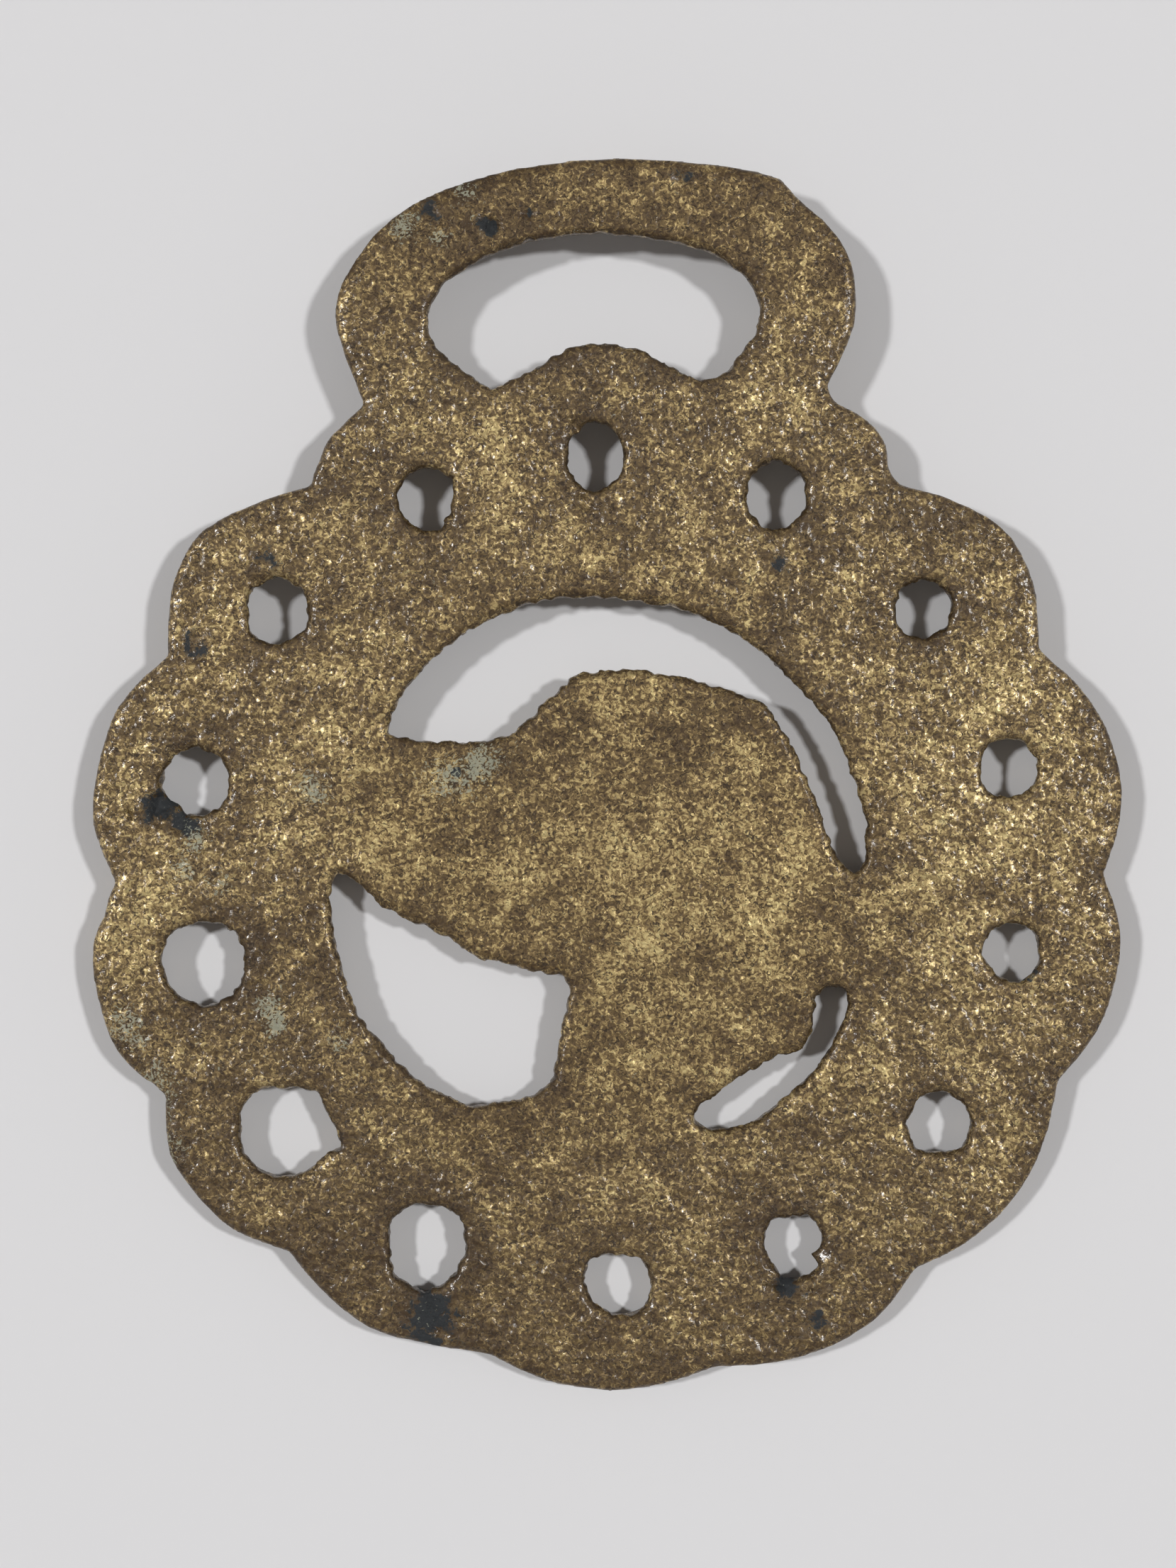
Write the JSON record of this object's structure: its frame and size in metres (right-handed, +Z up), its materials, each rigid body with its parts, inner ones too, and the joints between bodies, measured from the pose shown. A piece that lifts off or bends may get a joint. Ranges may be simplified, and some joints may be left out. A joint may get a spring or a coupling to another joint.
{
  "type": "horse brass",
  "caption": "Flat cast brass harness ornament: a scalloped, pierced ring round an animal's head in silhouette, with a slotted hanger loop for a strap.",
  "frame": {"origin": "on the surface the brass lies on, below the middle of its plan box", "axes": "+Z up, out of the flat back, which leans 1.5 degrees because the brass lies on its relief and lowest lobe; +Y towards the hanger; +X to the right as the back is seen with the hanger up"},
  "size_m": [0.0752, 0.09, 0.0048],
  "materials": {
    "patinated_brass": "old sand-cast brass, dark brown patina mottled with paler worn specks and a little verdigris"
  },
  "bodies": {
    "root": {"cast_brass": "patinated_brass"}
  },
  "joints": []
}
